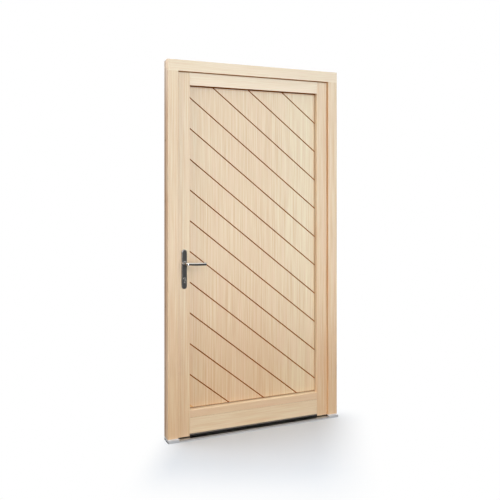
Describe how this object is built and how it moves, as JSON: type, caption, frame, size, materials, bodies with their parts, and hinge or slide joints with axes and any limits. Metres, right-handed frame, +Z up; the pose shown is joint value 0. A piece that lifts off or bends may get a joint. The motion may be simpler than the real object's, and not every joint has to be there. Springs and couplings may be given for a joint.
{
  "type": "panel door in its frame",
  "caption": "Wooden exterior door leaf with a diagonally grooved panel, lever handle and lock, hung in its rebated wooden frame over a metal threshold.",
  "frame": {"origin": "on the underside of the threshold, midway between the jambs, in the plane of the frame's outer face", "axes": "+X to the right seen from outside, +Y inwards through the doorway, +Z up"},
  "size_m": [1.083, 0.1654, 2.1],
  "materials": {
    "frame_wood": "clear-coated pale pine, satin",
    "leaf_wood": "clear-coated pale pine, satin",
    "panel_wood": "clear-coated pale pine, satin",
    "threshold_metal": "natural anodised, satin",
    "shoe_plastic": "grey, matt",
    "seal_rubber": "black, matt",
    "lock_steel": "brushed",
    "hinge_steel": "brushed",
    "cylinder_nickel": "satin nickel",
    "handle_plate": "dark grey, satin",
    "lever_metal": "satin stainless"
  },
  "bodies": {
    "frame": {"frame_head": "frame_wood", "frame_jamb_lock": "frame_wood", "frame_jamb_hinge": "frame_wood", "threshold": "threshold_metal", "threshold_shoe_left": "shoe_plastic", "threshold_shoe_right": "shoe_plastic", "strike_plate": "lock_steel", "hinge_frame_top": "hinge_steel", "hinge_frame_middle": "hinge_steel", "hinge_frame_bottom": "hinge_steel"},
    "leaf": {"lock_stile": "leaf_wood", "hinge_stile": "leaf_wood", "top_rail": "leaf_wood", "bottom_rail_upper": "leaf_wood", "bottom_rail_lower": "leaf_wood", "door_panel": "panel_wood", "bottom_seal": "seal_rubber", "lock_forend": "lock_steel", "latch_bolt": "lock_steel", "dead_bolt": "lock_steel", "lock_cylinder": "cylinder_nickel", "backplate_outer": "handle_plate", "backplate_inner": "handle_plate", "hinge_leaf_top": "hinge_steel", "hinge_leaf_middle": "hinge_steel", "hinge_leaf_bottom": "hinge_steel"},
    "handle": {"lever_outer": "lever_metal", "lever_inner": "lever_metal", "handle_spindle": "lock_steel"}
  },
  "joints": [
    {"name": "leaf_swing", "type": "hinge", "parent": "frame", "child": "leaf", "pos_m": [0.4915, 0.076, 1.0305], "axis": [0, 0, -1], "range_deg": [0, 110]},
    {"name": "lever_turn", "type": "hinge", "parent": "leaf", "child": "handle", "pos_m": [-0.442, 0.041, 0.976], "axis": [0, 1, 0], "range_deg": [0, 40], "stiffness_Nm_per_rad": 2, "springref_deg": -17.19}
  ]
}
